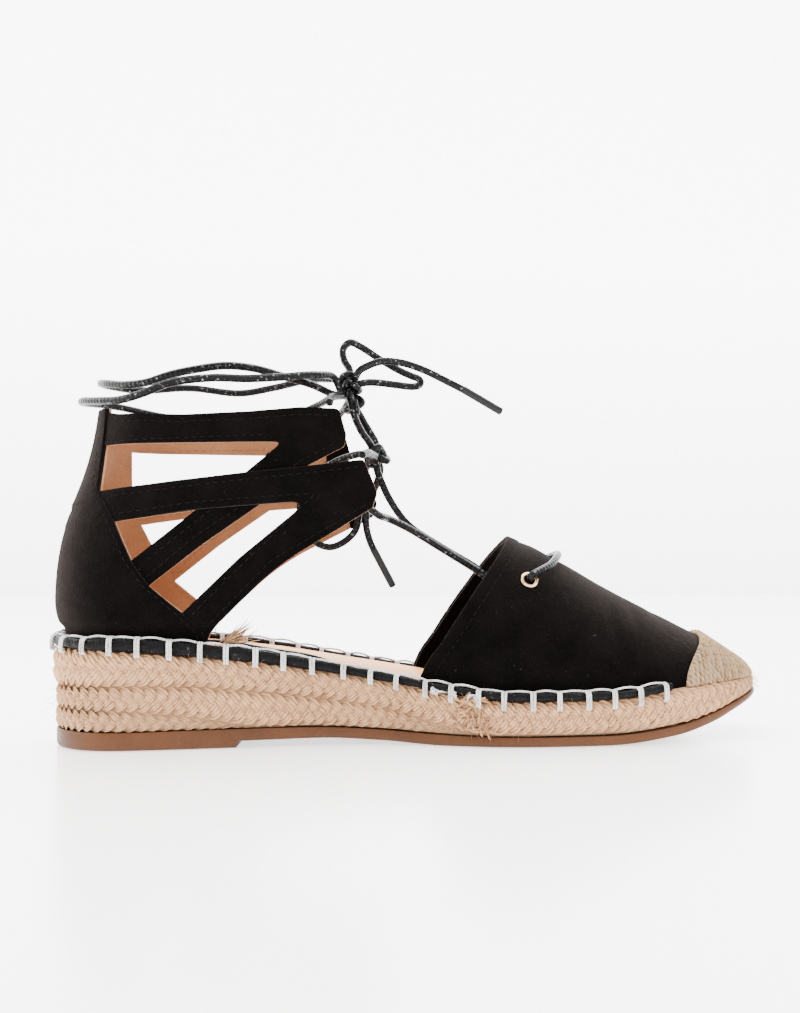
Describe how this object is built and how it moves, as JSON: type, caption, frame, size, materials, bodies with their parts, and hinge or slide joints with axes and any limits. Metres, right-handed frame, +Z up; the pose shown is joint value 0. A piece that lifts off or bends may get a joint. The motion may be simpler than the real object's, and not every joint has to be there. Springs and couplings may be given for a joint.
{
  "type": "espadrille",
  "caption": "Lace-up espadrille with strapped heel counter, closed round toe and low braided jute wedge on a rubber sole; left foot.",
  "frame": {"origin": "on the ground, in the middle of the box round the shoe without its free laces", "axes": "+X to the toe, +Y to the outer side of the foot, +Z up"},
  "size_m": [0.25, 0.0814, 0.1416],
  "materials": {
    "suede_black": "napped faux suede, matte",
    "binding_black": "woven binding with pale blanket stitches",
    "jute_braid": "braided jute rope, matte",
    "jute_weave": "woven jute, matte",
    "rubber_sole": "moulded brown rubber",
    "insole_tan": "smooth tan lining leather",
    "eyelet_gold": "polished",
    "waxed_lace": "waxed braided cord, semi-gloss"
  },
  "bodies": {
    "root": {"outsole": "rubber_sole", "midsole": "jute_braid", "insole": "insole_tan", "rand": "binding_black", "vamp": "suede_black", "toe_cap": "jute_weave", "quarter": "suede_black", "eyelet_inner": "eyelet_gold", "eyelet_outer": "eyelet_gold", "lace_run": "waxed_lace", "lace_knot_upper": "waxed_lace", "lace_knot_lower": "waxed_lace", "lace_turn_low": "waxed_lace", "lace_turn_high": "waxed_lace", "lace_loop_front": "waxed_lace", "lace_loop_inner": "waxed_lace", "lace_tie_near": "waxed_lace", "lace_tie_far": "waxed_lace", "lace_tab_inner": "waxed_lace", "lace_tab_outer": "waxed_lace", "lace_arm_inner": "waxed_lace", "lace_arm_outer": "waxed_lace", "lace_end_front": "waxed_lace", "lace_end_inner": "waxed_lace", "lace_tip_front": "waxed_lace", "lace_tip_inner": "waxed_lace"}
  },
  "joints": []
}
